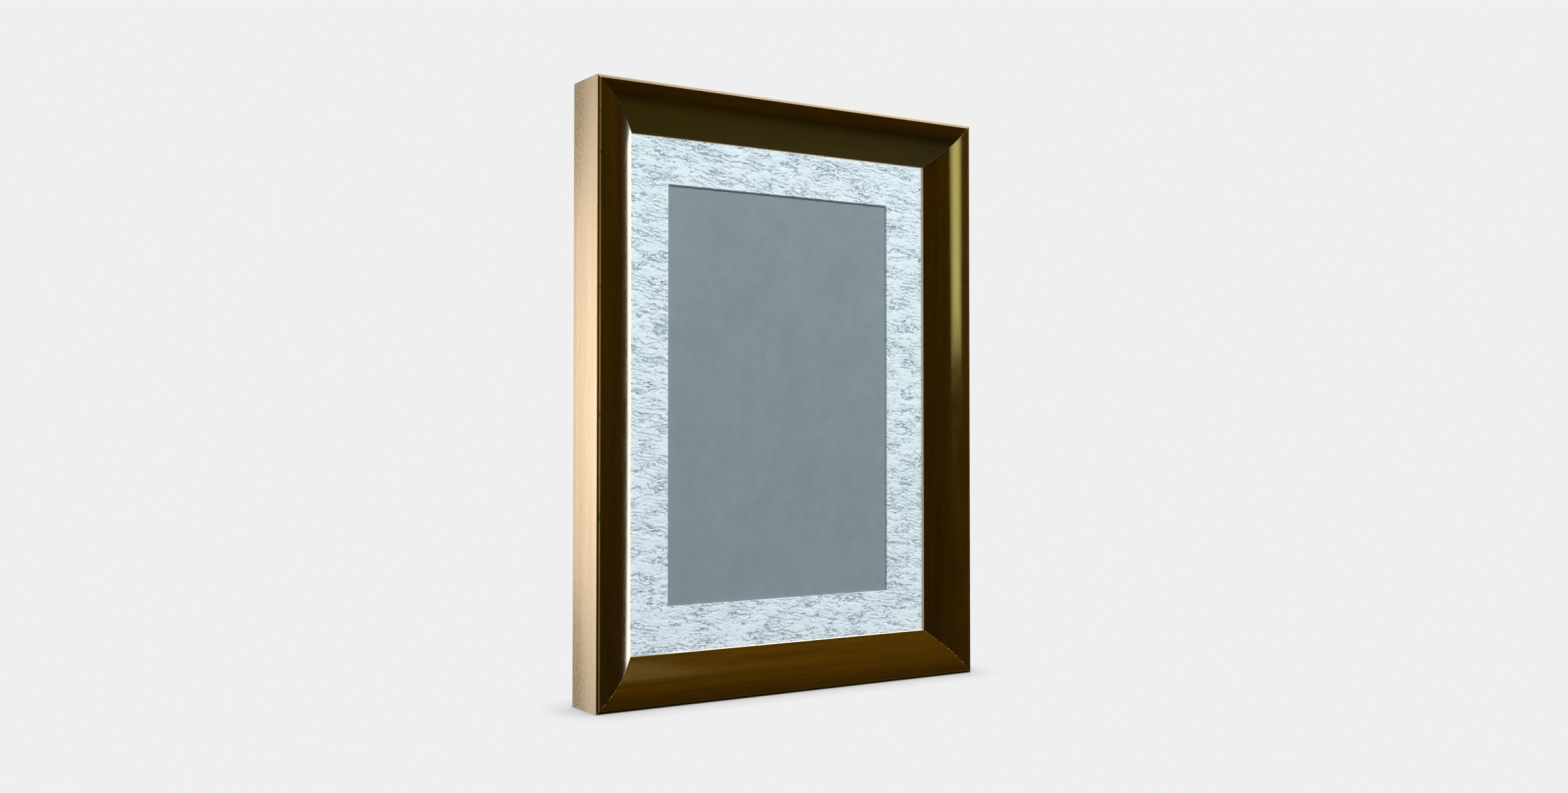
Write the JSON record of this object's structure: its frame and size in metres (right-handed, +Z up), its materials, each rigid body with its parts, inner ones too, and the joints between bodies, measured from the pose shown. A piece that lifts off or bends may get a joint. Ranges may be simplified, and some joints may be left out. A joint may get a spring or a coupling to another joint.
{
  "type": "floating frame",
  "caption": "Deep mitred display frame: dark rolled wooden rails, glazing, textured window mat over a plain panel, backing held by turn buttons, strap hangers.",
  "frame": {"origin": "middle of the underside, halfway between the crown of the moulding and the wall face of the bumpers", "axes": "+Z up along the rails' height, +Y from the front to the wall, +X to the right seen from the front"},
  "size_m": [0.3754, 0.049, 0.4984],
  "materials": {
    "stained_timber": "dark olive-brown stain and satin varnish on the moulded face, pale bare maple on the sides, the back and inside the sight edge",
    "glazing": "clear low-reflection acrylic",
    "mat_paper": "thick pale blue-white paper with a rough torn-fibre relief",
    "art_sheet": "matt blue-grey sheet with soft cloudy mottling",
    "hinge_paper": "thin long-fibred paper",
    "linen_tape": "gummed linen tape",
    "mount_board": "smooth cotton board",
    "foam_board": "paper-faced foam board",
    "backing_board": "smooth fibreboard",
    "felt": "thin black felt",
    "block_rubber": "black neoprene",
    "nail_steel": "blued spring steel",
    "screw_steel": "zinc-plated pan-head screws with a cross recess",
    "plated_steel": "zinc-plated pressed steel",
    "ring_nickel": "nickel-plated wire",
    "bumper_rubber": "soft dark grey rubber"
  },
  "bodies": {
    "frame": {"rail_top": "stained_timber", "rail_bottom": "stained_timber", "rail_left": "stained_timber", "rail_right": "stained_timber", "corner_v_nails": "nail_steel", "rebate_felt": "felt", "glazing": "glazing", "window_mat": "mat_paper", "art_panel": "art_sheet", "art_hinges": "hinge_paper", "mat_hinge_tape": "linen_tape", "mount_board": "mount_board", "foam_board_front": "foam_board", "foam_board_rear": "foam_board", "backing_board": "backing_board", "setting_blocks": "block_rubber", "turn_button_screws": "screw_steel", "hanger_strap_left": "plated_steel", "hanger_strap_right": "plated_steel", "hanger_screws": "screw_steel", "wall_bumpers": "bumper_rubber"},
    "turn_button_left_lower": {"turn_button_left_lower": "plated_steel"},
    "turn_button_left_upper": {"turn_button_left_upper": "plated_steel"},
    "turn_button_right_lower": {"turn_button_right_lower": "plated_steel"},
    "turn_button_right_upper": {"turn_button_right_upper": "plated_steel"},
    "turn_button_bottom_left": {"turn_button_bottom_left": "plated_steel"},
    "turn_button_bottom_right": {"turn_button_bottom_right": "plated_steel"},
    "turn_button_top_left": {"turn_button_top_left": "plated_steel"},
    "turn_button_top_right": {"turn_button_top_right": "plated_steel"},
    "hanger_ring_left": {"hanger_ring_left": "ring_nickel"},
    "hanger_ring_right": {"hanger_ring_right": "ring_nickel"}
  },
  "joints": [
    {"name": "turn_button_left_lower_turn", "type": "hinge", "parent": "frame", "child": "turn_button_left_lower", "pos_m": [-0.163, 0.02028, 0.13], "axis": [0, 1, 0], "range_deg": [-90, 90]},
    {"name": "turn_button_left_upper_turn", "type": "hinge", "parent": "frame", "child": "turn_button_left_upper", "pos_m": [-0.163, 0.02028, 0.41], "axis": [0, 1, 0], "range_deg": [-90, 90]},
    {"name": "turn_button_right_lower_turn", "type": "hinge", "parent": "frame", "child": "turn_button_right_lower", "pos_m": [0.163, 0.02028, 0.13], "axis": [0, 1, 0], "range_deg": [-90, 90]},
    {"name": "turn_button_right_upper_turn", "type": "hinge", "parent": "frame", "child": "turn_button_right_upper", "pos_m": [0.163, 0.02028, 0.41], "axis": [0, 1, 0], "range_deg": [-90, 90]},
    {"name": "turn_button_bottom_left_turn", "type": "hinge", "parent": "frame", "child": "turn_button_bottom_left", "pos_m": [-0.075, 0.02028, 0.0247], "axis": [0, 1, 0], "range_deg": [-90, 90]},
    {"name": "turn_button_bottom_right_turn", "type": "hinge", "parent": "frame", "child": "turn_button_bottom_right", "pos_m": [0.075, 0.02028, 0.0247], "axis": [0, 1, 0], "range_deg": [-90, 90]},
    {"name": "turn_button_top_left_turn", "type": "hinge", "parent": "frame", "child": "turn_button_top_left", "pos_m": [-0.075, 0.02028, 0.4737], "axis": [0, 1, 0], "range_deg": [-90, 90]},
    {"name": "turn_button_top_right_turn", "type": "hinge", "parent": "frame", "child": "turn_button_top_right", "pos_m": [0.075, 0.02028, 0.4737], "axis": [0, 1, 0], "range_deg": [-90, 90]},
    {"name": "hanger_ring_left_swing", "type": "hinge", "parent": "frame", "child": "hanger_ring_left", "pos_m": [-0.1717, 0.02181, 0.352], "axis": [1, 0, 0], "range_deg": [0, 178]},
    {"name": "hanger_ring_right_swing", "type": "hinge", "parent": "frame", "child": "hanger_ring_right", "pos_m": [0.1717, 0.02181, 0.352], "axis": [1, 0, 0], "range_deg": [0, 178]}
  ]
}
